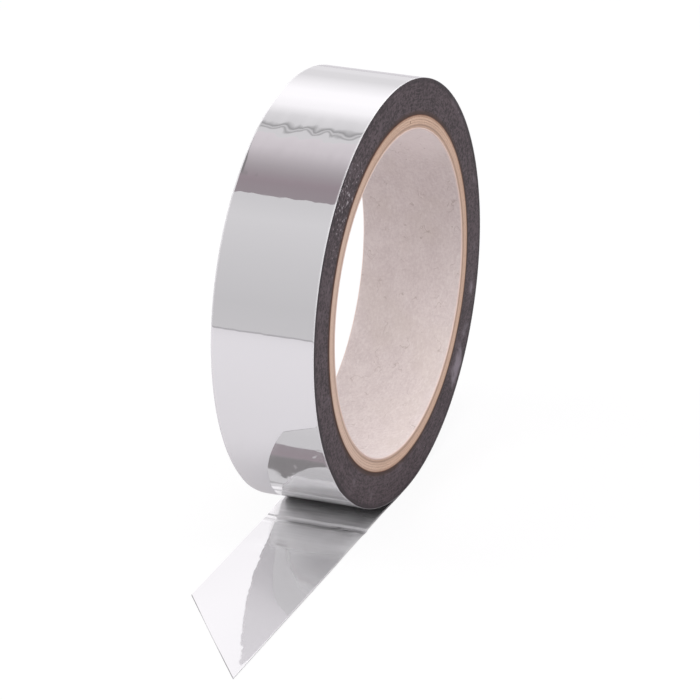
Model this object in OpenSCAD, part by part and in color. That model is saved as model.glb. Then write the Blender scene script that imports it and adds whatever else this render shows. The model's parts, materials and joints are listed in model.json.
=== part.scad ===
// Roll of mirror-silver film tape on a spiral-wound paper core, standing on its rim.
// The origin is the centre of the bore, the roll's axis is Y, and the free end lies along +X.

/* [Tape] */
// Width of the tape, along the roll's axis
tape_w = 25; // [12:1:50]
// Thickness of all the tape wound on the core
wind_t = 8.5; // [4:0.5:40]
// Thickness of the film with its adhesive
film_t = 0.1; // [0.06:0.01:0.2]
// Running gap between the wound pack and the outermost turn
turn_gap = 0.05; // [0.02:0.01:0.1]
// Degrees of arc from the line where the tape leaves the roll to the outermost turn's inner end
lap_arc = 10; // [10:1:25]

/* [Free end] */
// Run of film from the line where it leaves the roll to the crease across it
crease_run = 24; // [18:1:40]
// Gap at the crease between the two stretches of film
crease_gap = 0.1; // [0.06:0.01:0.3]
// Long edge of the slanting cut end, from the line where the film leaves the roll
tail_long = 99; // [60:1:200]
// Short edge of the slanting cut end, from the same line
tail_short = 66; // [50:1:200]

/* [Core] */
// Bore of the core
bore_d = 76.2; // [70:0.1:80]
// Thickness of the smooth liner ply round the bore
liner_t = 0.4; // [0.2:0.1:0.6]
// Thickness of each board ply in the wall
ply_t = 0.6; // [0.4:0.1:0.8]
// Thickness of the kraft ply under the tape
wrap_t = 0.6; // [0.3:0.1:0.8]
// Advance of the paper strips along the axis in one turn
strip_lead = 140; // [100:5:250]
// Gap where the edges of a strip meet
seam_gap = 0.4; // [0.2:0.1:0.8]
// Degrees that each ply's seam is turned from the seam below it
seam_step = 75; // [30:1:120]

/* [Hidden] */

// Radii from the bore outwards
ply_count = 4;
bore_r = bore_d / 2;
liner_r = bore_r + liner_t;
board_r = liner_r + ply_count * ply_t;
core_r = board_r + wrap_t;
roll_r = core_r + wind_t;
turn_in_r = roll_r - film_t;
pack_r = turn_in_r - turn_gap;

// The outermost turn, whose angles run from the bottom of the roll, up its back and down its front
turn_angle = 360 - lap_arc;
film_mid_z = -roll_r + film_t / 2;
run_end = crease_run - film_t / 2 - crease_gap;

// Butt seam of a paper strip
seam_twist = 360 * tape_w / strip_lead;
seam_slices = 16;
seam_sides = 4;
cut_over = 0.2;
$fn = 96;

// Lays a shape that was drawn round Z along the roll's axis, with its X down and its Y to the back
module on_axis() {
    rotate([-90, 0, 0])
        rotate([0, 0, 90])
            children();
}

// Plain ring, as wide as the tape
module ring(inner_r, outer_r) {
    difference() {
        cylinder(r = outer_r, h = tape_w, center = true);
        cylinder(r = inner_r, h = tape_w + 2 * cut_over, center = true);
    }
}

// Helical slot where the two edges of a wound strip meet
module butt_seam(inner_r, thickness) {
    linear_extrude(height = tape_w + 2 * cut_over, center = true, slices = seam_slices,
                   segments = seam_sides, twist = seam_twist * (tape_w + 2 * cut_over) / tape_w)
        translate([inner_r + thickness / 2, 0])
            square([thickness + 2 * cut_over, seam_gap], center = true);
}

// One spiral-wound ply: a ring that its own seam opens
module wound_ply(inner_r, thickness, seam_angle) {
    on_axis()
        difference() {
            ring(inner_r, inner_r + thickness);
            rotate([0, 0, seam_angle])
                butt_seam(inner_r, thickness);
        }
}

// Liner with a glued lap, so the bore has no gap in it
module core_liner() {
    color([0.78, 0.74, 0.71])
        on_axis()
            ring(bore_r, liner_r);
}

module core_ply(number) {
    color([0.80, 0.66, 0.52])
        wound_ply(liner_r + (number - 1) * ply_t, ply_t, number * seam_step);
}

module core_wrap() {
    color([0.74, 0.58, 0.44])
        wound_ply(board_r, wrap_t, (ply_count + 1) * seam_step);
}

// All the turns below the outermost one
module tape_pack() {
    color([0.33, 0.30, 0.31])
        on_axis()
            ring(core_r, pack_r);
}

// Outermost turn: one open loop that runs off level at the bottom, as far as the crease
module outer_turn() {
    color([0.82, 0.82, 0.83]) {
        on_axis()
            rotate_extrude(angle = turn_angle)
                translate([turn_in_r, -tape_w / 2])
                    square([film_t, tape_w]);
        translate([0, -tape_w / 2, -roll_r])
            cube([run_end, tape_w, film_t]);
    }
}

// Free end past the crease, cut off at a slant, with a round fold edge on the crease's axis
module tail() {
    half_w = tape_w / 2;
    color([0.82, 0.82, 0.83]) {
        translate([crease_run, 0, film_mid_z])
            on_axis()
                cylinder(d = film_t, h = tape_w, center = true);
        translate([0, 0, -roll_r])
            linear_extrude(height = film_t)
                polygon([[crease_run, -half_w], [tail_short, -half_w],
                         [tail_long, half_w], [crease_run, half_w]]);
    }
}

// Least gap between the outermost turn's last quarter and its own run-off, measured on points
turn_points = [for (a = [turn_angle - 90 : 1 : turn_angle]) -roll_r * [sin(a), cos(a)]];
run_points = [for (x = [0 : 0.25 : run_end]) [x, -turn_in_r]];
least_gap = min([for (p = turn_points, q = run_points) norm(p - q)]);
echo(least_gap_of_outer_turn = least_gap);

core_liner();
core_ply(1);  // core_ply_1
core_ply(2);  // core_ply_2
core_ply(3);  // core_ply_3
core_ply(4);  // core_ply_4
core_wrap();
tape_pack();
outer_turn();
tail();
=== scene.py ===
import json
import math

import bmesh
import bpy
from mathutils import Matrix, Vector, noise


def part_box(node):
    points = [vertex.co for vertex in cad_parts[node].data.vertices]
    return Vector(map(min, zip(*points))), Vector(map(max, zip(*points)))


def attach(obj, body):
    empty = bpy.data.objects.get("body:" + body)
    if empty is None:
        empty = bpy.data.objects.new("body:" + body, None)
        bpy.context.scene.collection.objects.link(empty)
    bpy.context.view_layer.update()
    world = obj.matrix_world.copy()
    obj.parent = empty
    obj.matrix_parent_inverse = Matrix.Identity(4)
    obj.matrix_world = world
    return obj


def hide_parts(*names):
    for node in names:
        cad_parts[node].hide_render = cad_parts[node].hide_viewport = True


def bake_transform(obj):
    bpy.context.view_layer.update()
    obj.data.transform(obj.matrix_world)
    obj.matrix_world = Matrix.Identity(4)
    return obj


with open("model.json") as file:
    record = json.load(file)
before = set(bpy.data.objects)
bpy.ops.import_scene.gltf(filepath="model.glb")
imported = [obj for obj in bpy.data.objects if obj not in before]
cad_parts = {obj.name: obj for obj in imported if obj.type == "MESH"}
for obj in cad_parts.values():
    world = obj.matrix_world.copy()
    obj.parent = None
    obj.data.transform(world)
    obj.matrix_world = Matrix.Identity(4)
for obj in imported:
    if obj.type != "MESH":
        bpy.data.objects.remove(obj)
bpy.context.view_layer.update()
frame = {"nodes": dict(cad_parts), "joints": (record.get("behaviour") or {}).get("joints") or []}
mm = 0.001
weld = 1e-7  # vertices closer than this are merged
pureWhite = (1.0, 1.0, 1.0, 1.0)

# sizes that the frame gives
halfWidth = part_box("tape_pack")[1].y
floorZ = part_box("tail")[0].z
rollRadius = -floorZ
creaseX = next(j["pos_m"][0] for j in frame["joints"] if j["name"] == "tail_lift")
tailPoints = [v.co for v in frame["nodes"]["tail"].data.vertices]
longEnd = max(p.x for p in tailPoints if p.y > 0)
shortEnd = max(p.x for p in tailPoints if p.y < 0)
print("frame loaded, roll radius", round(rollRadius / mm, 2), "mm")


def ringRadii(nodeName):
    spans = [math.hypot(v.co.x, v.co.z) for v in frame["nodes"][nodeName].data.vertices]
    return min(spans), max(spans)


def smooth(value, low, high):  # 0 below low, 1 above high, eased between them
    t = min(max((value - low) / (high - low), 0.0), 1.0)
    return t * t * (3 - 2 * t)


def hill(value, centre, width):  # a soft bump, 1 at its centre
    return math.exp(-(((value - centre) / width) ** 2))


def waver(*place):  # smooth noise about 0
    return noise.noise(Vector(place))


class Wire:
    # a shader socket; sums and products of wires add Math nodes
    def __init__(self, tree, socket=None):
        self.tree = tree
        self.socket = socket

    def add(self, kind, settings=None, inputs=None, out=0):
        node = self.tree.nodes.new(kind)
        for name, value in (settings or {}).items():
            if name == "stops":
                fillRamp(node.color_ramp, value)
            else:
                setattr(node, name, value)
        for key, value in (inputs or {}).items():
            if isinstance(value, Wire):
                self.tree.links.new(value.socket, node.inputs[key])
            else:
                node.inputs[key].default_value = value
        if out is None:  # the closing node of a tree
            return None
        if isinstance(out, tuple):
            return [Wire(self.tree, node.outputs[o]) for o in out]
        return Wire(self.tree, node.outputs[out])

    def maths(self, operation, first, second=0.0):
        return self.add("ShaderNodeMath", {"operation": operation}, {0: first, 1: second})

    def __add__(self, other):
        return self.maths("ADD", self, other)

    def __radd__(self, other):
        return self.maths("ADD", other, self)

    def __sub__(self, other):
        return self.maths("SUBTRACT", self, other)

    def __rsub__(self, other):
        return self.maths("SUBTRACT", other, self)

    def __mul__(self, other):
        return self.maths("MULTIPLY", self, other)

    def __rmul__(self, other):
        return self.maths("MULTIPLY", other, self)

    def __truediv__(self, other):
        return self.maths("DIVIDE", self, other)

    def __pow__(self, other):
        return self.maths("POWER", self, other)

    def __abs__(self):
        return self.maths("ABSOLUTE", self)


def fillRamp(ramp, stops):
    while len(ramp.elements) < len(stops):
        ramp.elements.new(1.0)
    for element, (position, colour) in zip(ramp.elements, stops):
        element.position = position
        element.color = colour


def makeMaterial(name, constants, varying):
    material = bpy.data.materials.new(name)
    material.use_nodes = True
    tree = material.node_tree
    shader = tree.nodes["Principled BSDF"]
    for key, value in constants.items():
        shader.inputs[key].default_value = value
    for key, wire in varying(Wire(tree)).items():
        tree.links.new(wire.socket, shader.inputs[key])
    return material


def speckle(start, vector, scale, detail=2.0, roughness=0.5):
    # noise in 0..1 on a vector
    return start.add("ShaderNodeTexNoise", {"noise_dimensions": "3D"},
                     {"Vector": vector, "Scale": scale, "Detail": detail, "Roughness": roughness})


def between(start, value, low, high):
    # a value's place between low and high, held to 0..1
    return start.add("ShaderNodeMapRange", {"clamp": True, "interpolation_type": "SMOOTHSTEP"},
                     {"Value": value, "From Min": low, "From Max": high})


def mound(start, value, centre, width):
    # a soft bump in a value, 1 at its centre
    offset = (value - centre) / width
    return start.maths("POWER", math.e, -1.0 * (offset * offset))


def mixed(shares, wires):
    return sum(share * wire for share, wire in zip(shares, wires))


def scaled(levels, wire):  # the least level, and what the wire adds to it
    return levels[0] + levels[1] * wire


def blendColours(start, factor, first, second):
    return start.add("ShaderNodeMix", {"data_type": "RGBA"}, {0: factor, 6: first, 7: second}, out=2)


def bumped(start, height, distance, strength):
    return start.add("ShaderNodeBump", None, {"Strength": strength, "Distance": distance, "Height": height})


def placeAlong(start, axes):
    # the piece's own coordinates along the numbered axes
    coords = start.add("ShaderNodeTexCoord", out="Object")
    return start.add("ShaderNodeSeparateXYZ", None, {0: coords}, out=axes)


def roundTheAxis(start):
    # direction from the roll's axis, and the distance from it
    x, z = placeAlong(start, (0, 2))
    radius = (x * x + z * z) ** 0.5
    return x / radius, z / radius, radius


silverLook = {
    "tint": (0.906, 0.904, 0.907, 1.0),
    "roughness": 0.022, "stickyRough": 0.02, "rimRough": 0.4,
    "haze": 0.03,              # extra roughness in hazy streaks along the tape
    "hazeScale": 60.0, "hazeStretch": (1.0, 9.0, 1.0), "hazeRange": (0.45, 0.8),
    "streakScale": 900.0, "streakStretch": (1.0, 0.09, 1.0),  # fine streaks across the tape
    "peelScale": 420.0, "relief": (0.0012 * mm, 1.0),  # depth and strength
    "stickyDull": 0.05,        # share of the adhesive side that doesn't mirror
    "creaseDull": 0.56,        # and more of it where the film was bent and pulled off the roll
    "creaseRise": (11.5 * mm, 21.0 * mm),
    "creaseStreaks": (0.45, 1.1),
    "foldAt": 24.3 * mm, "foldHalf": 1.6 * mm, "foldClear": 0.45,  # the fold itself is less dull
    "glueDull": 0.80,          # dull adhesive past the crease
    "glueColour": (0.82, 0.82, 0.825, 1.0),
    "glueRise": (26.0 * mm, 28.5 * mm), "glueFall": (31.0 * mm, 42.0 * mm),
    "glueStreaks": (0.9, 0.2),
    "nearFade": 0.4, "nearRange": (4.0 * mm, 10.5 * mm),  # the dull part is weaker near the near edge, which paints in the pack's shade there
    "farSlope": 0.35, "farRange": (-20.0 * mm, -18.2 * mm),  # and ends at a slanting line near the far one
    "cutRange": (0.105 * mm, 0.35 * mm),  # a darker line this wide runs along the slanting cut
    "cutColour": (0.060, 0.054, 0.058, 1.0),
    "cutBlend": 0.75,
    "cutPaleAt": -1.5 * mm, "cutPaleRange": (2.0 * mm, 9.0 * mm), "cutLevels": (0.25, 0.75),
    "slitColour": (0.22, 0.21, 0.215, 1.0),
    # colour of the painted highlight along the slit edges
    "wornColour": (0.93, 0.92, 0.93, 1.0),
    "wornRange": (12.05 * mm, 12.4 * mm),  # a painted highlight lies along the slit edges past this half width
    "wornBlend": 0.8, "wornMatte": 0.5,
    "fleckScale": 1400.0, "fleckRange": (0.1, 0.5),
}


def silverSurface(start):
    look = silverLook
    run = start.add("ShaderNodeUVMap", {"uv_map": "tapeRun"})
    along, across = start.add("ShaderNodeSeparateXYZ", None, {0: run}, out=(0, 1))
    # the side is 0 outside, 1 on the adhesive and 2 on the cut rims
    side = start.add("ShaderNodeAttribute", {"attribute_name": "filmSide"}, out="Fac")
    sticky = between(start, side, 0.4, 0.6)
    cut = between(start, side, 1.4, 1.6)
    longRun = start.add("ShaderNodeMapping", None, {"Vector": run, "Scale": look["hazeStretch"]})
    crossRun = start.add("ShaderNodeMapping", None, {"Vector": run, "Scale": look["streakStretch"]})
    hazy = between(start, speckle(start, longRun, look["hazeScale"], 3.0), *look["hazeRange"])
    streaks = speckle(start, crossRun, look["streakScale"], 3.0, 0.6)
    peel = speckle(start, run, look["peelScale"])
    fleck = speckle(start, run, look["fleckScale"])

    # painted highlight along the slit edges, apart from the far one on the adhesive side
    nearEdge = start.maths("GREATER_THAN", across, 0.0)
    edgeHighlight = between(start, abs(across), *look["wornRange"]) * (1 - sticky * (1 - nearEdge))
    edgeHighlight = edgeHighlight * between(start, fleck, *look["fleckRange"])

    # dull stretches of the adhesive side, before the crease and past it
    inLine = between(start, across - look["farSlope"] * along, *look["farRange"])
    # painted shade: less of the dull part near the near edge, where the pack shades the film
    inside = 1 - look["nearFade"] * between(start, across, *look["nearRange"])
    glued = between(start, along, *look["glueRise"])
    bent = between(start, along, *look["creaseRise"]) * (1 - glued)
    bent = bent * (1 - look["foldClear"] * mound(start, along, look["foldAt"], look["foldHalf"]))
    bent = bent * scaled(look["creaseStreaks"], streaks)
    glued = glued * (1 - between(start, along, *look["glueFall"])) * scaled(look["glueStreaks"], streaks)
    dull = (look["creaseDull"] * bent + look["glueDull"] * glued) * inside * inLine
    dull = look["stickyDull"] + dull

    # the line along the slanting cut, which is palest near its middle
    slope = (longEnd - shortEnd) / (2 * halfWidth)
    fromCut = (shortEnd + slope * halfWidth) + slope * across - along
    trimmed = 1 - between(start, fromCut, *look["cutRange"])
    rim = blendColours(start, trimmed, look["slitColour"], look["cutColour"])
    offMiddle = between(start, abs(across - look["cutPaleAt"]), *look["cutPaleRange"])
    trimmed = trimmed * scaled(look["cutLevels"], offMiddle)

    colour = blendColours(start, look["wornBlend"] * edgeHighlight, look["tint"], look["wornColour"])
    colour = blendColours(start, look["cutBlend"] * trimmed, colour, look["cutColour"])
    colour = blendColours(start, glued * inside * inLine * sticky, colour, look["glueColour"])
    roughness = look["roughness"] + look["haze"] * hazy
    return {
        "Base Color": blendColours(start, cut, colour, rim),
        "Metallic": (1 - dull * sticky) * (1 - cut) * (1 - look["wornMatte"] * edgeHighlight),
        "Roughness": roughness + look["stickyRough"] * sticky + look["rimRough"] * cut,
        "Normal": bumped(start, peel, *look["relief"]),
    }


woundLook = {
    "dark": (0.034, 0.024, 0.027, 1.0),
    "light": (0.120, 0.090, 0.099, 1.0),
    "toneShares": (0.28, 0.54, 0.18), "toneRange": (0.39, 0.61),  # lines, grain and patches
    "turnScale": 4300.0,       # lines per metre across the turns
    "alongScale": 13.37, "alongShift": (3.3, 7.7),
    "patternShift": (0.0137, 0.0311, 0.0071), "patternTurn": (0.0, 0.06, 0.0),  # off the noise's own grid
    "grainScale": 2300.0, "grainStretch": (0.5, 1.0, 1.0),
    "patchScale": 110.0, "sparkScale": 1300.0,
    "mottle": 0.36, "mottleRise": (-0.75, -0.1),  # rougher above the bottom of the roll
    # places where the turns are pressed smooth: degrees and half width, radius and half width, share
    "pressed": [(-140.0, 24.0, 46.6 * mm, 2.4 * mm, 1.0), (164.0, 22.0, 47.6 * mm, 1.4 * mm, 0.55)],
    # lighter lilac of the smooth patches: partly real gloss, partly a painted reflection
    "smear": (0.250, 0.208, 0.245, 1.0),
    "pressedShare": 0.22, "smearRange": (0.60, 0.82), "smearBlend": 0.75, "smearShine": 0.24,
    # colour of the painted glints
    "glint": (0.46, 0.42, 0.44, 1.0),
    "glintAt": 50.0, "glintHalf": 19.0, "glintShare": 0.16,  # a stretch with painted glints, in degrees
    "glintRange": (0.74, 0.86), "glintBlend": 0.7, "glintShine": 0.25,
    # painted shade along the outermost turns
    "rim": (0.030, 0.023, 0.026, 1.0),
    "rimFrom": 1.3 * mm, "rimFull": 0.5 * mm, "rimBlend": 0.8,  # painted shade, in from the outermost turn
    "rimLevels": (0.5, 0.5),   # the painted shade is weaker at the top and the bottom
    "glue": (0.064, 0.032, 0.022, 1.0),  # painted shade in the gap next to the core
    "glueFull": 0.3 * mm, "glueTo": 1.3 * mm, "glueBlend": 0.85,
    "roughness": 0.55, "grainRough": 0.14,
    "reliefShares": (0.15, 0.85), "relief": (0.05 * mm, 0.5),  # lines and grain
}


def woundSurface(start):
    look = woundLook
    cosine, sine, radius = roundTheAxis(start)
    angle = start.maths("ARCTAN2", sine, cosine) * (180 / math.pi)
    inner, outer = ringRadii("tape_pack")
    shiftX, shiftZ = look["alongShift"]
    turns = start.add("ShaderNodeCombineXYZ", None, {
        0: cosine * look["alongScale"] + shiftX, 1: sine * look["alongScale"] + shiftZ,
        2: radius * look["turnScale"]})
    coords = start.add("ShaderNodeMapping", None, {
        "Vector": start.add("ShaderNodeTexCoord", out="Object"),
        "Location": look["patternShift"], "Rotation": look["patternTurn"]})
    coarse = start.add("ShaderNodeMapping", None, {"Vector": coords, "Scale": look["grainStretch"]})
    lines = speckle(start, turns, 1.0)
    grain = speckle(start, coarse, look["grainScale"], 3.0, 0.7)
    patches = speckle(start, coords, look["patchScale"], 4.0, 0.6)
    sparks = speckle(start, coords, look["sparkScale"])

    pressed = sum(share * mound(start, angle, at, halfAngle) * mound(start, radius, place, half)
                  for at, halfAngle, place, half, share in look["pressed"])
    # the smooth patches: lower roughness, and a lighter colour that is partly a painted reflection
    smearsAndSheen = between(start, patches + look["pressedShare"] * pressed, *look["smearRange"])
    # painted glints, more of them in one stretch round the roll
    glinting = look["glintShare"] * mound(start, angle, look["glintAt"], look["glintHalf"])
    glints = between(start, sparks + glinting, *look["glintRange"])
    mottle = look["mottle"] * between(start, sine, *look["mottleRise"]) * (sparks - 0.5)
    tone = between(start, mixed(look["toneShares"], (lines, grain, patches)) + mottle, *look["toneRange"])
    # painted shade along the outermost turns, stronger at the sides
    rim = between(start, radius, outer - look["rimFrom"], outer - look["rimFull"])
    rim = rim * scaled(look["rimLevels"], abs(cosine))
    # painted shade in the gap between the tape and the core
    glue = 1 - between(start, radius, inner + look["glueFull"], inner + look["glueTo"])

    colour = blendColours(start, tone, look["dark"], look["light"])
    for name, share in (("smear", smearsAndSheen), ("glint", glints), ("rim", rim), ("glue", glue)):
        colour = blendColours(start, look[name + "Blend"] * share, colour, look[name])
    roughness = look["roughness"] - look["smearShine"] * smearsAndSheen - look["glintShine"] * glints
    return {
        "Base Color": colour,
        "Roughness": roughness + look["grainRough"] * (grain - 0.5),
        "Normal": bumped(start, mixed(look["reliefShares"], (lines, grain)), *look["relief"]),
    }


boardLook = {
    "tone": (0.81, 0.585, 0.445, 1.0),
    "shade": (0.625, 0.428, 0.312, 1.0),
    "kraftTone": (0.66, 0.445, 0.325, 1.0),
    "kraftShade": (0.47, 0.30, 0.212, 1.0),
    "toneShares": (0.45, 0.3, 0.25), "toneRange": (0.33, 0.67),  # fibres, fluff and stains
    "alongScale": 40.0, "layerScale": 6500.0,  # the fibres lie round the axis
    "fluffScale": 1900.0, "stainScale": 55.0,
    "reliefShares": (0.6, 0.4), "relief": (0.08 * mm, 0.6),  # fibres and fluff
    "bleached": (0.835, 0.655, 0.545, 1.0),  # paler towards the side of the free end
    "bleachedRange": (0.1, 0.9), "bleachedBlend": 0.5,
    "wander": 0.16 * mm, "wanderScale": 140.0,  # the lines between the plies aren't quite round
    "glueLine": (0.47, 0.325, 0.255, 1.0),
    "lineRange": (0.02, 0.16), "lineBlend": 0.55,  # in thicknesses of a ply
    "innerAt": 0.5 * mm, "innerHalf": 0.3 * mm, "innerBlend": 0.85,  # broader glue in the innermost ply
    "burnt": (0.130, 0.056, 0.035, 1.0),  # painted shade at the outer edge of the kraft ply, in the gap next to the tape
    "burntFrom": 0.22 * mm, "burntFull": 0.06 * mm, "burntBlend": 0.9,
}


def boardFibres(start, tone, shade):
    look = boardLook
    cosine, sine, radius = roundTheAxis(start)
    layers = start.add("ShaderNodeCombineXYZ", None, {
        0: cosine * look["alongScale"], 1: sine * look["alongScale"], 2: radius * look["layerScale"]})
    coords = start.add("ShaderNodeTexCoord", out="Object")
    fibres = speckle(start, layers, 1.0, 3.0, 0.6)
    fluff = speckle(start, coords, look["fluffScale"], 3.0, 0.6)
    stain = speckle(start, coords, look["stainScale"])
    mix = between(start, mixed(look["toneShares"], (fibres, fluff, stain)), *look["toneRange"])
    paleShare = look["bleachedBlend"] * between(start, cosine, *look["bleachedRange"])
    colour = blendColours(start, paleShare, blendColours(start, mix, shade, tone), look["bleached"])
    wander = look["wander"] * (speckle(start, coords, look["wanderScale"]) - 0.5)
    relief = bumped(start, mixed(look["reliefShares"], (fibres, fluff)), *look["relief"])
    return colour, radius + wander, relief


def boardSurface(start):
    look = boardLook
    colour, radius, relief = boardFibres(start, look["tone"], look["shade"])
    inner, outer = ringRadii("core_ply_1")
    # a thin line of glue shows between two plies
    nearest = start.maths("PINGPONG", (radius - inner) / (outer - inner), 0.5)
    lines = look["lineBlend"] * (1 - between(start, nearest, *look["lineRange"]))
    innermost = look["innerBlend"] * mound(start, radius, inner + look["innerAt"], look["innerHalf"])
    glue = start.maths("MAXIMUM", lines, innermost)
    return {"Base Color": blendColours(start, glue, colour, look["glueLine"]), "Normal": relief}


def kraftSurface(start):
    look = boardLook
    colour, radius, relief = boardFibres(start, look["kraftTone"], look["kraftShade"])
    inner, outer = ringRadii("core_wrap")
    # painted shade in the gap between the kraft ply and the tape
    burnt = look["burntBlend"] * between(start, radius, inner + look["burntFrom"], outer - look["burntFull"])
    return {"Base Color": blendColours(start, burnt, colour, look["burnt"]), "Normal": relief}


linerLook = {
    "pale": (0.766, 0.687, 0.660, 1.0),
    "mauve": (0.640, 0.553, 0.535, 1.0),
    "cloudScale": 260.0, "grainScale": 1500.0,
    "toneShares": (0.4, 0.6), "toneRange": (0.30, 0.70),  # clouds and grain
    "bleached": (0.90, 0.81, 0.785, 1.0),  # painted light: the top of the bore paler, where the floor's bounce light falls
    "bleachedRange": (16.0 * mm, 27.0 * mm), "bleachedBlend": 0.6,
    "straw": (0.675, 0.595, 0.540, 1.0),
    "strawScale": 60.0, "strawRange": (0.5, 0.75), "strawBlend": 0.4,
    "fleck": (0.815, 0.750, 0.725, 1.0),
    "fleckScale": 700.0, "fleckTurn": (0.5, 0.3, 0.0), "fleckStretch": (1.0, 3.0, 1.0),
    "fleckRange": (0.5, 0.72), "fleckBlend": 0.45,
    "hair": (0.36, 0.27, 0.23, 1.0),  # stray brown fibres
    "hairScale": 150.0, "hairRange": (0.002, 0.011), "hairBlend": 0.4,
    "breakScale": 330.0, "breakRange": (0.52, 0.66),
    "lip": (0.86, 0.70, 0.635, 1.0),  # cut edge of the paper
    "lipDepth": 0.25 * mm,
    "reliefShares": (0.5, 0.5), "relief": (0.08 * mm, 0.6),  # flecks and grain
}


def linerSurface(start):
    look = linerLook
    coords = start.add("ShaderNodeTexCoord", out="Object")
    depth, height = placeAlong(start, (1, 2))
    slanted = start.add("ShaderNodeMapping", None, {
        "Vector": coords, "Rotation": look["fleckTurn"], "Scale": look["fleckStretch"]})
    clouds = speckle(start, coords, look["cloudScale"], 4.0, 0.65)
    grain = speckle(start, coords, look["grainScale"], 3.0, 0.7)
    warm = speckle(start, coords, look["strawScale"])
    fibres = speckle(start, slanted, look["fleckScale"], 3.0, 0.6)
    # a hair lies where one noise is halfway, and another breaks it up
    bends = speckle(start, coords, look["hairScale"], 3.0, 0.6)
    broken = between(start, speckle(start, coords, look["breakScale"], 1.0), *look["breakRange"])
    hairs = broken * (1 - between(start, abs(bends - 0.5), *look["hairRange"]))
    tone = between(start, mixed(look["toneShares"], (clouds, grain)), *look["toneRange"])
    colour = blendColours(start, tone, look["pale"], look["mauve"])
    # the paler top of the bore is painted light
    for name, value in (("bleached", height), ("straw", warm), ("fleck", fibres)):
        share = look[name + "Blend"] * between(start, value, *look[name + "Range"])
        colour = blendColours(start, share, colour, look[name])
    colour = blendColours(start, look["hairBlend"] * hairs, colour, look["hair"])
    lip = between(start, abs(depth), halfWidth - look["lipDepth"], halfWidth)
    return {
        "Base Color": blendColours(start, lip, colour, look["lip"]),
        "Normal": bumped(start, mixed(look["reliefShares"], (fibres, grain)), *look["relief"]),
    }


paper = {"Roughness": 0.88, "Specular IOR Level": 0.25}
silverFilm = makeMaterial("silverFilm", {"Specular IOR Level": 0.5}, silverSurface)
woundEdge = makeMaterial("woundEdge", {"Specular IOR Level": 0.22}, woundSurface)
linerPaper = makeMaterial("linerPaper", paper, linerSurface)
coreBoard = makeMaterial("coreBoard", paper, boardSurface)
coreKraft = makeMaterial("coreKraft", paper, kraftSurface)
print("materials made")


def finishPiece(name, bm, material, sharpDegrees):
    mesh = bpy.data.meshes.new(name)
    bm.to_mesh(mesh)
    bm.free()
    mesh.materials.append(material)
    mesh.shade_smooth()
    mesh.set_sharp_from_angle(angle=math.radians(sharpDegrees))
    piece = bpy.data.objects.new(name, mesh)
    bpy.context.scene.collection.objects.link(piece)
    return piece


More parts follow.
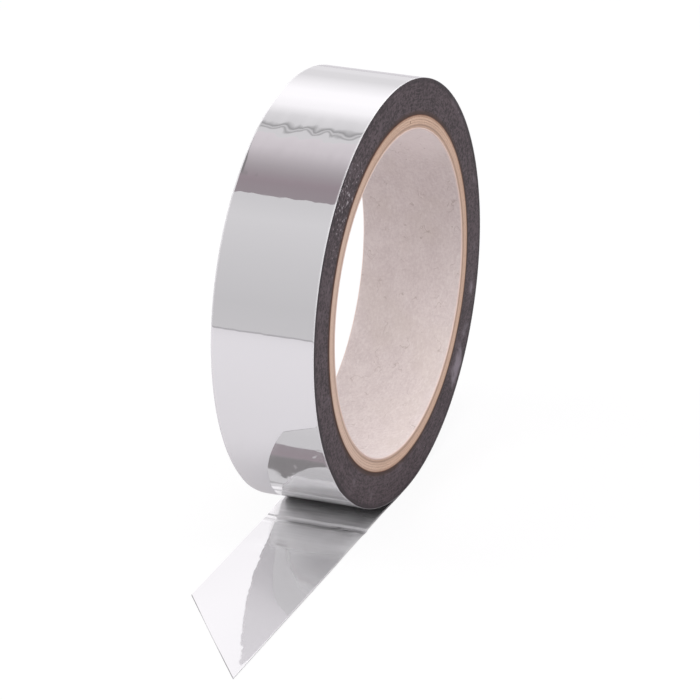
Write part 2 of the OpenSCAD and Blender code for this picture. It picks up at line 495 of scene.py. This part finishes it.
# the film: outermost turn, run-off and free end are one strip
filmSizes = {
    "thickness": 0.1 * mm,
    "sharp": 40,               # degrees
    "loopArc": 355,            # degrees, from the bottom of the roll up its back and down its front
    "loopSteps": 430,
    "acrossStep": 0.5 * mm,
    "runStep": 0.5 * mm,
    "fineStep": 0.2 * mm, "fineRun": (20.0 * mm, 29.0 * mm),  # near the crease
    "edgeWidth": 0.4 * mm,     # the slit edges roll in over this width
    "edgeRoll": 0.03 * mm,
    "edgeShares": (0.66, 0.33, 0.12, 0.0),
    "bendHalf": 0.6 * mm,      # half the length that bends at the crease
    # the stretch on the roll
    "loop": {
        "ripple": 0.0022 * mm, "rippleRise": (3.0 * mm, 12.0 * mm),
        "waves": ((11.0, 6.0, 3.7, 1.6), (3.3, 2.4, 8.2, 1.0)),  # length and width in mm, seed, share
        # creases that cross it: degrees along it, half width, tilt and pitch across the tape
        "creases": [
            {"at": 202.4, "spread": 2.6 * mm, "tilt": 0.050, "pitch": 2.7},
            {"at": 204.5, "spread": 3.5 * mm, "tilt": 0.022, "pitch": 1.2},
            {"at": 222.7, "spread": 2.6 * mm, "tilt": 0.016, "pitch": 1.1},
            {"at": 258.5, "spread": 2.0 * mm, "tilt": 0.004, "pitch": 1.6},
        ],
        "bulge": 0.20 * mm,        # a buckle across the front of the roll, low down
        "bulgeAt": 310.3, "bulgeHalf": 9.0,  # degrees
        # degrees that it runs on towards the far edge, and where
        "bulgeSlants": ((2.0, -7.0 * mm, -2.0 * mm), (5.0, 3.0 * mm, 12.5 * mm)),
        "bulgeWaver": 0.8, "bulgeWaverFrom": -4.0 * mm, "bulgePitch": 2.8,
        "bulgeFade": 0.6, "bulgeFadeTo": 12.0 * mm,
    },
    # the stretch on the floor, with its crease
    "tail": {
        "rootHeight": 0.26 * mm,   # the run-off lies this far off the floor before the crease
        "rootRise": (4.0 * mm, 16.0 * mm),
        "tailHeight": 0.14 * mm,   # and this far just past it
        "settled": 0.85, "settledEnds": 6.0 * mm,  # the free end comes down again towards the cut
        "creaseWander": 0.25 * mm, "creasePitch": 3.5,
        "creaseFall": (-1.5 * mm, -0.3 * mm), "creaseRise": (0.5 * mm, 1.5 * mm),
        "fold": 0.05 * mm,         # a sharp little ridge along the fold, and a second one past it
        "folds": ((-1.1 * mm, 0.35 * mm, 1.0), (2.3 * mm, 0.45 * mm, 0.8)),
        "ripple": 0.012 * mm, "rippleRise": (2.0 * mm, 10.0 * mm), "rippleMean": 1.5,
        "waves": ((6.5, 4.0, 2.2, 0.5),),  # length and width in mm, seed, share
        "teeth": ((2.6, 3.6, 5.5, 1.4), (1.1, 2.6, 1.5, 0.7)),
        # fine wrinkles lie along a slanting line
        "wrinkleFrom": (28.0 * mm, -10.5 * mm), "wrinkleSlope": 0.35, "wrinkleHalf": 1.5 * mm,
        "wrinkleRise": (30.0 * mm, 38.0 * mm), "wrinkleLevels": (0.12, 1.9),
        "lean": 0.022,             # slope across the tape at the far edge, just past the crease
        "leanWidth": 10.0 * mm,    # and where it has levelled out
        "leanRise": (25.5 * mm, 28.0 * mm), "leanFall": (35.0 * mm, 42.0 * mm),
        "cup": 0.20 * mm,          # both long edges stand this far up, past the crease
        "cupRise": (24.0 * mm, 52.0 * mm),
        "curl": 0.30 * mm,         # and the far one more near the crease
        "curlFrom": 9.3 * mm, "curlRise": (5.0 * mm, 12.0 * mm), "curlFall": (15.0 * mm, 23.0 * mm),
        # small dents past the crease: run, across, half sizes, height
        "dents": [
            (24.4 * mm, 6.2 * mm, 0.5 * mm, 0.6 * mm, 0.12 * mm),
            (25.3 * mm, 10.4 * mm, 0.6 * mm, 1.2 * mm, 0.16 * mm),
            (26.0 * mm, 5.0 * mm, 0.4 * mm, 0.7 * mm, 0.06 * mm),
            (32.4 * mm, 10.8 * mm, 0.35 * mm, 1.5 * mm, 0.05 * mm),
        ],
    },
}


def acrossPlaces():
    inner = halfWidth - filmSizes["edgeWidth"]
    count = round(2 * inner / filmSizes["acrossStep"])
    middle = [-inner + 2 * inner * i / count for i in range(count + 1)]
    edge = [halfWidth - filmSizes["edgeWidth"] * share for share in filmSizes["edgeShares"]]
    return [-y for y in reversed(edge)] + middle + edge


def edgeLift(y):
    inward = (abs(y) - halfWidth + filmSizes["edgeWidth"]) / filmSizes["edgeWidth"]
    return filmSizes["edgeRoll"] * max(inward, 0.0) ** 2


def bulgeLift(angle, y):
    # angle counts from the bottom of the roll, up its back and down its front
    sizes = filmSizes["loop"]
    ridge = sizes["bulgeAt"] + sum(turn * smooth(-y, low, high) for turn, low, high in sizes["bulgeSlants"])
    onNearSide = smooth(y, sizes["bulgeWaverFrom"], 0)
    ridge += sizes["bulgeWaver"] * onNearSide * waver(y / mm / sizes["bulgePitch"], 0.7, 1.9)
    height = sizes["bulge"] * (1 - sizes["bulgeFade"] * smooth(-y, 0, sizes["bulgeFadeTo"]))
    return height * max(1 - abs(angle - ridge) / sizes["bulgeHalf"], 0.0) ** 2


def loopLift(run, y):
    # how far the film on the roll stands in; run counts back from the bottom
    sizes = filmSizes["loop"]
    ripple = sum(share * waver(run / mm / length, y / mm / width, seed)
                 for length, width, seed, share in sizes["waves"])
    lift = sizes["ripple"] * ripple * smooth(-run, *sizes["rippleRise"])
    for number, crease in enumerate(sizes["creases"]):
        off = run + rollRadius * math.radians(crease["at"])
        if abs(off) < 4 * crease["spread"]:
            tilt = crease["tilt"] * waver(y / mm / crease["pitch"], 4.3 * number, off / mm / 9)
            lift += tilt * off * hill(off, 0, crease["spread"])
    return lift - bulgeLift(math.degrees(-run / rollRadius), y) + edgeLift(y)


def wrinkleLift(run, y):
    sizes = filmSizes["tail"]
    startRun, startY = sizes["wrinkleFrom"]
    line = startY + sizes["wrinkleSlope"] * (run - startRun)
    least, more = sizes["wrinkleLevels"]
    wrinkled = least + more * hill(y, line, sizes["wrinkleHalf"]) * smooth(run, *sizes["wrinkleRise"])
    rough = sum(share * waver(run / mm / length, y / mm / width, seed)
                for length, width, seed, share in sizes["waves"])
    rough -= sum(share * abs(waver(run / mm / length, y / mm / width, seed))
                 for length, width, seed, share in sizes["teeth"])
    return sizes["ripple"] * (sizes["rippleMean"] + wrinkled * rough) * smooth(run, *sizes["rippleRise"])


def tailLift(run, y):
    # height of the run-off and the free end over the floor
    sizes = filmSizes["tail"]
    past = run - creaseX + sizes["creaseWander"] * waver(0.4, y / mm / sizes["creasePitch"], 6.1)
    root = sizes["rootHeight"] * smooth(run, *sizes["rootRise"]) * (1 - smooth(past, *sizes["creaseFall"]))
    ridges = sum(sizes["fold"] * share * hill(past, at, half) for at, half, share in sizes["folds"])
    settled = smooth(run, creaseX + sizes["settledEnds"], longEnd - sizes["settledEnds"])
    free = sizes["tailHeight"] * smooth(past, *sizes["creaseRise"]) * (1 - sizes["settled"] * settled)
    inward = min(y + halfWidth, sizes["leanWidth"])
    lean = sizes["lean"] * (inward - inward ** 2 / (2 * sizes["leanWidth"]))
    lean *= smooth(run, *sizes["leanRise"]) * (1 - smooth(run, *sizes["leanFall"]))
    cup = sizes["cup"] * (y / halfWidth) ** 2 * smooth(run - creaseX, *sizes["cupRise"])
    corner = max((-y - sizes["curlFrom"]) / (halfWidth - sizes["curlFrom"]), 0.0) ** 2
    curl = sizes["curl"] * corner * smooth(run, *sizes["curlRise"]) * (1 - smooth(run, *sizes["curlFall"]))
    dents = sum(height * hill(run, x, halfX) * hill(y, atY, halfY)
                for x, atY, halfX, halfY, height in sizes["dents"])
    # only the near edge rolls in here
    return root + ridges + free + wrinkleLift(run, y) + lean + cup + curl + dents + edgeLift(max(y, 0.0))


def buildFilm():
    bm = bmesh.new()
    runLayer = bm.verts.layers.float.new("run")
    chain = [bm.verts.new((0, y, floorZ)) for y in acrossPlaces()]
    chainEdges = [bm.edges.new(pair) for pair in zip(chain, chain[1:])]
    bmesh.ops.spin(bm, geom=chain + chainEdges, cent=(0, 0, 0), axis=(0, 1, 0),
                   angle=math.radians(filmSizes["loopArc"]), steps=filmSizes["loopSteps"],
                   use_duplicate=False)
    for v in bm.verts:
        v[runLayer] = -rollRadius * (math.atan2(-v.co.x, -v.co.z) % math.tau)
    for v in chain:
        v[runLayer] = 0.0

    # the strip grows out along the floor, past the cut, and is then cut off
    runEdges = chainEdges
    fineFrom, fineTo = filmSizes["fineRun"]
    place = 0.0
    while place < longEnd + mm:
        step = filmSizes["fineStep" if fineFrom < place < fineTo else "runStep"]
        place += step
        grown = bmesh.ops.extrude_edge_only(bm, edges=runEdges)["geom"]
        moved = [g for g in grown if isinstance(g, bmesh.types.BMVert)]
        fresh = set(moved)
        runEdges = [g for g in grown if isinstance(g, bmesh.types.BMEdge) and fresh.issuperset(g.verts)]
        bmesh.ops.translate(bm, vec=(step, 0, 0), verts=moved)
        for v in moved:
            v[runLayer] = v.co.x
    cut = Vector((longEnd - shortEnd, 2 * halfWidth, 0))
    bmesh.ops.bisect_plane(bm, geom=bm.verts[:] + bm.edges[:] + bm.faces[:], dist=weld,
                           plane_co=(shortEnd, -halfWidth, 0), plane_no=(cut.y, -cut.x, 0), clear_outer=True)
    bmesh.ops.recalc_face_normals(bm, faces=bm.faces)
    bm.normal_update()
    if max(bm.faces, key=lambda f: f.calc_center_median().z).normal.z < 0:
        bmesh.ops.reverse_faces(bm, faces=bm.faces)
    uv = bm.loops.layers.uv.new("tapeRun")
    for face in bm.faces:
        for loop in face.loops:
            loop[uv].uv = (loop.vert[runLayer], loop.vert.co.y)
    for v in bm.verts:
        run = v[runLayer]
        if run < 0:
            v.co -= Vector((v.co.x, 0, v.co.z)).normalized() * loopLift(run, v.co.y)
        else:
            v.co.z += tailLift(run, v.co.y)

    film = finishPiece("silver_film", bm, silverFilm, filmSizes["sharp"])
    wall = film.modifiers.new("wall", "SOLIDIFY")
    wall.thickness = filmSizes["thickness"]
    wall.offset = -1
    for _ in range(2):  # spare places that mark the adhesive side and the cut edges
        film.data.materials.append(silverFilm)
    wall.material_offset = 1
    wall.material_offset_rim = 2
    mesh = bpy.data.meshes.new_from_object(film.evaluated_get(bpy.context.evaluated_depsgraph_get()))
    film.modifiers.clear()
    film.data = mesh
    sides = mesh.attributes.new("filmSide", "FLOAT", "FACE")
    for index, face in enumerate(mesh.polygons):
        sides.data[index].value = face.material_index
        face.material_index = 0
    while len(mesh.materials) > 1:
        mesh.materials.pop()
    mesh.set_sharp_from_angle(angle=math.radians(filmSizes["sharp"]))
    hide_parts("outer_turn", "tail")
    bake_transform(film)
    print("film built,", len(mesh.polygons), "faces")


# the wound pack, with the slit edges of its turns
packSizes = {
    "turnStep": 0.2 * mm,
    "steps": 300,
    "sharp": 60,               # degrees
    "rimRound": 0.05 * mm,
    "stagger": 0.007 * mm,     # how far groups of turns stand in or out
    "groups": ((1.3, 0.0, 0.85), (0.4, 5.0, 0.15)),  # width in mm, seed, share
    "groupShare": 0.6,         # the rest of the stagger varies round the roll
    "lobes": 3.0, "lobeWidth": 0.7,
}


def buildPack():
    sizes = packSizes
    inner, outer = ringRadii("tape_pack")
    count = round((outer - inner) / sizes["turnStep"])
    radii = [inner + (outer - inner) * i / count for i in range(count + 1)]

    def sideAt(radius, seed):
        step = sum(share * waver(radius / mm / width, seed, other) for width, other, share in sizes["groups"])
        rim = sizes["rimRound"] * max(1 - (outer - radius) / (3 * sizes["rimRound"]), 0) ** 2
        return halfWidth - sizes["stagger"] * (1 + step) * sizes["groupShare"] - rim

    bm = bmesh.new()
    front = [bm.verts.new((r, sideAt(r, 1.0), 0)) for r in radii]
    back = [bm.verts.new((r, -sideAt(r, 9.0), 0)) for r in reversed(radii)]
    profile = front + back
    edges = [bm.edges.new(pair) for pair in zip(profile, profile[1:] + profile[:1])]
    bmesh.ops.spin(bm, geom=profile + edges, cent=(0, 0, 0), axis=(0, 1, 0), angle=math.tau,
                   steps=sizes["steps"], use_merge=True)
    bmesh.ops.remove_doubles(bm, verts=bm.verts, dist=weld)
    bmesh.ops.recalc_face_normals(bm, faces=bm.faces)
    for v in bm.verts:
        radius = math.hypot(v.co.x, v.co.z)
        along = Vector((v.co.x, 0, v.co.z)) * (sizes["lobes"] / radius)
        wave = waver(along.x, along.z, radius / mm / sizes["lobeWidth"])
        v.co.y -= math.copysign(sizes["stagger"] * (1 - sizes["groupShare"]) * (1 + wave), v.co.y)
    pack = finishPiece("wound_tape", bm, woundEdge, sizes["sharp"])
    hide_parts("tape_pack")
    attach(pack, "roll")
    print("pack built")


# the spiral-wound core: each ply is a strip whose edges meet in a slanting seam
plySizes = {
    "steps": 240,
    "acrossCount": 14,
    "sharp": 50,               # degrees
    "seamGap": 0.3,            # degrees
    "seamSlant": 64.0,         # degrees of turn over the width of the tape
    "seamStep": 75,            # degrees from one ply's seam to the next one's
    "corner": 0.06 * mm,
    "lip": 0.13 * mm,          # softer edge of the liner
    "cornerTurn": 0.3,
    "waver": 0.012 * mm, "lobes": 9.0,
    # from the bore outwards: piece, node, material, slot and how far it stands proud
    "plies": [
        ("liner_paper", "core_liner", linerPaper, "core_liner_paper", 0.11 * mm),
        ("board_ply_1", "core_ply_1", coreBoard, "core_board", 0.06 * mm),
        ("board_ply_2", "core_ply_2", coreBoard, "core_board", 0.10 * mm),
        ("board_ply_3", "core_ply_3", coreBoard, "core_board", 0.085 * mm),
        ("board_ply_4", "core_ply_4", coreBoard, "core_board", 0.105 * mm),
        ("kraft_wrap", "core_wrap", coreKraft, "core_kraft", 0.085 * mm),
    ],
}


def buildPly(number, pieceName, nodeName, material, slotName, proud):
    sizes = plySizes
    closed = number == 0  # the liner has a glued lap, and no open seam
    inner, outer = ringRadii(nodeName)
    top = halfWidth + proud
    corner = sizes["lip" if closed else "corner"]
    count = sizes["acrossCount"] * (2 if closed else 1)
    wall = [-top + corner + 2 * (top - corner) * i / count for i in range(count + 1)]
    turned = sizes["cornerTurn"] * corner
    upper = [(inner + turned, top - turned), (inner + corner, top),
             (outer - corner, top), (outer - turned, top - turned)]
    lower = [(r, -y) for r, y in reversed(upper)]
    outline = [(inner, y) for y in wall] + upper + [(outer, y) for y in reversed(wall)] + lower
    bm = bmesh.new()
    profile = [bm.verts.new((r, y, 0)) for r, y in outline]
    edges = [bm.edges.new(pair) for pair in zip(profile, profile[1:] + profile[:1])]
    turn = math.tau - (0 if closed else math.radians(sizes["seamGap"]))
    bmesh.ops.spin(bm, geom=profile + edges, cent=(0, 0, 0), axis=(0, 1, 0), angle=turn,
                   steps=sizes["steps"], use_merge=closed)
    bmesh.ops.remove_doubles(bm, verts=bm.verts, dist=weld)
    if not closed:
        bmesh.ops.holes_fill(bm, edges=[e for e in bm.edges if e.is_boundary], sides=0)
    bmesh.ops.recalc_face_normals(bm, faces=bm.faces)
    for v in bm.verts:
        slant = math.radians(sizes["seamStep"] * number + sizes["seamSlant"] * v.co.y / (2 * halfWidth))
        v.co = Matrix.Rotation(slant, 3, "Y") @ v.co
        if abs(v.co.y) > top - 2 * corner:
            along = Vector((v.co.x, 0, v.co.z)) * (sizes["lobes"] / outer)
            sunk = sizes["waver"] * (1 + waver(along.x, outer / mm, along.z))
            v.co.y -= math.copysign(sunk, v.co.y)
    ply = finishPiece(pieceName, bm, material, sizes["sharp"])
    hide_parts(nodeName)
    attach(ply, "roll")


buildFilm()
buildPack()
for number, ply in enumerate(plySizes["plies"]):
    buildPly(number, *ply)
print("core built")

# stage: floor, dark flag, studio light and camera
studioCast = (1.0, 0.979, 1.008)


def tinted(level, red=0.0):
    warmth = (1 + red, 1.0, 1 + 0.4 * red)
    return tuple(level * warm * cast for warm, cast in zip(warmth, studioCast)) + (1.0,)


def stagePiece(name, bm, shader):
    mesh = bpy.data.meshes.new(name)
    bm.to_mesh(mesh)
    bm.free()
    material = bpy.data.materials.new(name + "Paint")
    material.use_nodes = True
    material.node_tree.nodes.clear()
    start = Wire(material.node_tree)
    start.add("ShaderNodeOutputMaterial", None, {"Surface": shader(start)}, out=None)
    mesh.materials.append(material)
    piece = bpy.data.objects.new(name, mesh)
    bpy.context.scene.collection.objects.link(piece)
    return piece


floorLook = {
    "radius": 0.82, "segments": 128, "drop": 0.03 * mm,
    "paint": 0.635, "mirrored": 0.80, "mirrorGlow": 0.10,
    "cameraGlow": 0.85, "cameraWhite": 1.06,
    "cove": 0.40, "coveFrom": 0.70,  # darker rim ahead of the roll, which only the film shows
}


def floorShader(start):
    look = floorLook
    isCamera, isGlossy, isClear = start.add(
        "ShaderNodeLightPath", out=("Is Camera Ray", "Is Glossy Ray", "Is Transmission Ray"))
    x, y = placeAlong(start, (0, 1))
    cove = start.maths("GREATER_THAN", (x * x + y * y) ** 0.5, look["coveFrom"])
    cove = cove * start.maths("GREATER_THAN", x, 0.0) * (1 - isCamera)
    paint = blendColours(start, cove, tinted(look["paint"]), tinted(look["cove"]))
    shine = blendColours(start, cove, tinted(look["mirrored"]), tinted(look["cove"]))
    matte = start.add("ShaderNodeBsdfDiffuse", None, {"Color": paint})
    bright = start.add("ShaderNodeEmission", None, {"Color": pureWhite, "Strength": look["cameraWhite"]})
    pale = start.add("ShaderNodeEmission", None, {"Color": shine, "Strength": 1.0})
    seen = start.add("ShaderNodeMixShader", None, {0: look["cameraGlow"] * isCamera, 1: matte, 2: bright})
    mirrored = start.maths("MAXIMUM", isGlossy, isClear)
    return start.add("ShaderNodeMixShader", None, {0: look["mirrorGlow"] * mirrored, 1: seen, 2: pale})


def buildFloor():
    bm = bmesh.new()
    bmesh.ops.create_circle(bm, cap_ends=True, segments=floorLook["segments"], radius=floorLook["radius"])
    bmesh.ops.translate(bm, vec=(0, 0, floorZ - floorLook["drop"]), verts=bm.verts)
    stagePiece("studioFloor", bm, floorShader)


# a dark flag over the roll, which only the mirror film shows
flagLook = {
    "height": 0.556, "from": -0.12, "to": 0.245, "backEnd": -0.270, "frontEnd": 0.6,
    # place, level and how much redder it is
    "levels": [
        (-0.116, 0.672, 0.05), (-0.039, 0.612, 0.055), (-0.002, 0.539, 0.06), (0.033, 0.459, 0.07),
        (0.073, 0.381, 0.08), (0.111, 0.323, 0.11), (0.150, 0.281, 0.17), (0.170, 0.274, 0.16),
        (0.245, 0.288, 0.12),
    ],
    "deep": (0.236, 0.223, 0.230, 1.0),  # its darkest part, near the back end
    "deepX": (0.03, 0.05), "deepTo": (0.11, 0.15), "deepY": (-0.2340, -0.2315), "deepSlant": 8.0,
}


def flagShader(start):
    look = flagLook
    x, y = placeAlong(start, (0, 1))
    span = look["to"] - look["from"]
    stops = [((place - look["from"]) / span, tinted(level, red)) for place, level, red in look["levels"]]
    fade = start.add("ShaderNodeValToRGB", {"stops": stops}, {0: (x - look["from"]) / span})
    slanted = x - look["deepSlant"] * (y - look["deepY"][0])
    deep = between(start, slanted, *look["deepX"]) * (1 - between(start, y, *look["deepY"]))
    deep = deep * (1 - between(start, x, *look["deepTo"]))
    level = blendColours(start, deep, fade, look["deep"])
    return start.add("ShaderNodeEmission", None, {"Color": level, "Strength": 1.0})


def buildFlag():
    look = flagLook
    size = (look["to"] - look["from"], look["frontEnd"] - look["backEnd"], 1)
    middle = ((look["to"] + look["from"]) / 2, (look["frontEnd"] + look["backEnd"]) / 2, look["height"])
    bm = bmesh.new()
    bmesh.ops.create_grid(bm, x_segments=1, y_segments=1, size=0.5)
    bmesh.ops.scale(bm, vec=size, verts=bm.verts)
    bmesh.ops.translate(bm, vec=middle, verts=bm.verts)
    flag = stagePiece("darkFlag", bm, flagShader)
    flag.visible_camera = False
    flag.visible_diffuse = False
    flag.visible_shadow = False


studioLook = {
    "strength": 1.2,
    # brightness by the angle round the roll's axis: 0 ahead of the free end, 90 overhead, 180 behind
    "bands": [
        (-180, 0.80), (-90, 0.80), (-3, 0.60), (10, 0.59), (33, 0.635), (55, 0.69), (65.5, 0.65), (108.6, 0.68),
        (109.0, 0.40), (110.0, 0.40), (110.5, 0.64), (111.9, 0.64), (112.4, 0.34), (113.6, 0.34), (114.2, 0.68),
        (121, 0.76), (129, 1.02), (138, 1.10), (146, 1.09), (157, 0.92), (166, 0.77), (174, 0.76), (180, 0.82),
    ],
}


def buildWorld():
    world = bpy.data.worlds.new("studio")
    bpy.context.scene.world = world
    world.use_nodes = True
    world.node_tree.nodes.clear()
    start = Wire(world.node_tree)
    direction = start.add("ShaderNodeTexCoord", out="Generated")
    x, z = start.add("ShaderNodeSeparateXYZ", None, {0: direction}, out=(0, 2))
    turn = start.maths("ARCTAN2", z, x) / math.tau + 0.5
    strength = studioLook["strength"]
    stops = [((angle + 180) / 360, tinted(level / strength)) for angle, level in studioLook["bands"]]
    bands = start.add("ShaderNodeValToRGB", {"stops": stops}, {0: turn})
    isCamera = start.add("ShaderNodeLightPath", out="Is Camera Ray")
    studio = start.add("ShaderNodeBackground", None, {"Color": bands, "Strength": strength})
    backdrop = start.add("ShaderNodeBackground", None, {"Color": pureWhite, "Strength": 1.0})
    shown = start.add("ShaderNodeMixShader", None, {0: isCamera, 1: studio, 2: backdrop})
    start.add("ShaderNodeOutputWorld", None, {"Surface": shown}, out=None)


lamps = {
    "overheadLamp": {"place": (0.18, 0.15, 1.26), "size": 0.6, "power": 6.0},
    "backLamp": {"place": (0.30, -0.70, 1.00), "size": 0.6, "power": 4.2},
}


def addLamp(name, place, size, power):
    lamp = bpy.data.lights.new(name, "AREA")
    lamp.size = size
    lamp.energy = power
    body = bpy.data.objects.new(name, lamp)
    body.location = place
    body.rotation_euler = (-Vector(place)).to_track_quat("-Z", "Y").to_euler()  # aimed at the roll
    body.visible_glossy = False
    bpy.context.scene.collection.objects.link(body)


shot = {
    "eye": (1.00132, 0.43965, 0.49083),
    "target": (0.00547, 0.00192, -0.01341),
    "rollDegrees": -1.99,
    "focalPixels": 5200,
    "framePixels": 700,
    "sensor": 36,
    "clipEnd": 20,
}


def addCamera():
    data = bpy.data.cameras.new("photoView")
    data.sensor_width = shot["sensor"]
    data.lens = shot["focalPixels"] * shot["sensor"] / shot["framePixels"]
    data.clip_end = shot["clipEnd"]
    camera = bpy.data.objects.new("photoView", data)
    aim = (Vector(shot["target"]) - Vector(shot["eye"])).to_track_quat("-Z", "Y").to_matrix().to_4x4()
    camera.matrix_world = (Matrix.Translation(shot["eye"]) @ aim
                           @ Matrix.Rotation(math.radians(shot["rollDegrees"]), 4, "Z"))
    bpy.context.scene.collection.objects.link(camera)
    bpy.context.scene.camera = camera


buildFloor()
buildFlag()
buildWorld()
for name, lamp in lamps.items():
    addLamp(name, **lamp)
addCamera()
bpy.context.scene.view_settings.view_transform = "Standard"
bpy.context.scene.cycles.glossy_bounces = 6  # the film mirrors itself many times under the roll
print("stage set")
